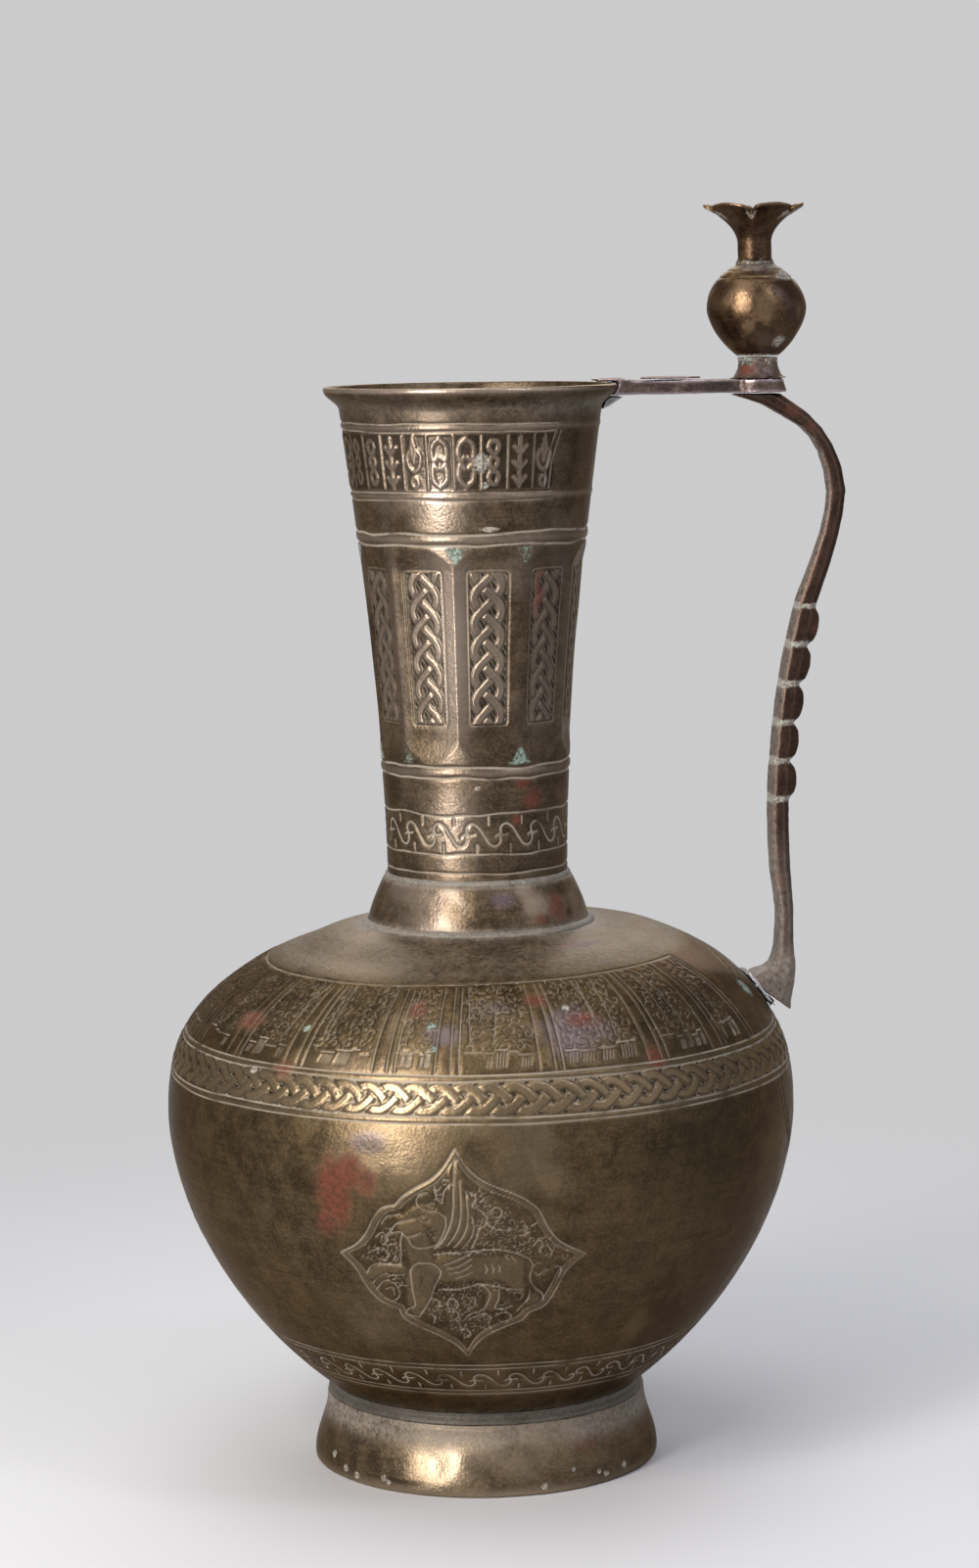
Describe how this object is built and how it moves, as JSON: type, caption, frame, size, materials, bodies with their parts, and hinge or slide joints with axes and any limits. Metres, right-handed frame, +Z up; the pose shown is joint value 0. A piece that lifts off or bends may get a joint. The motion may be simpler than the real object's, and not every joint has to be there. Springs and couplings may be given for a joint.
{
  "type": "ewer",
  "caption": "Bronze ewer with a round belly on a flared foot, a tall faceted neck with an everted lip, and a knopped side handle topped by a petalled thumb-rest.",
  "frame": {"origin": "on the surface the foot stands on, under the middle of the whole outline", "axes": "+Z up along the neck, +X from the vessel's axis towards the handle"},
  "size_m": [0.2026, 0.184, 0.3661],
  "materials": {
    "body_bronze": "aged olive-brown bronze, worn bright on the curves",
    "base_bronze": "dull unpolished bronze",
    "foot_bronze": "aged golden bronze with pits along its edge",
    "old_solder": "dull grey-green old solder",
    "neck_bronze": "aged golden bronze, worn bright on the flats",
    "collar_bronze": "aged brown bronze",
    "arm_bronze": "pinkish worn bronze",
    "handle_bronze": "dark brown bronze",
    "finial_bronze": "dark red-brown bronze"
  },
  "bodies": {
    "root": {"body_shell": "body_bronze", "base_disc": "base_bronze", "foot_ring": "foot_bronze", "foot_solder": "old_solder", "neck_tube": "neck_bronze", "neck_collar": "collar_bronze", "collar_top_solder": "old_solder", "collar_foot_solder": "old_solder", "handle_arm": "arm_bronze", "arm_repair_patch": "arm_bronze", "arm_lip_solder": "old_solder", "handle_bar": "handle_bronze", "handle_pad_solder": "old_solder", "finial_seat": "arm_bronze", "finial_bulb": "finial_bronze", "finial_cup": "finial_bronze"}
  },
  "joints": []
}
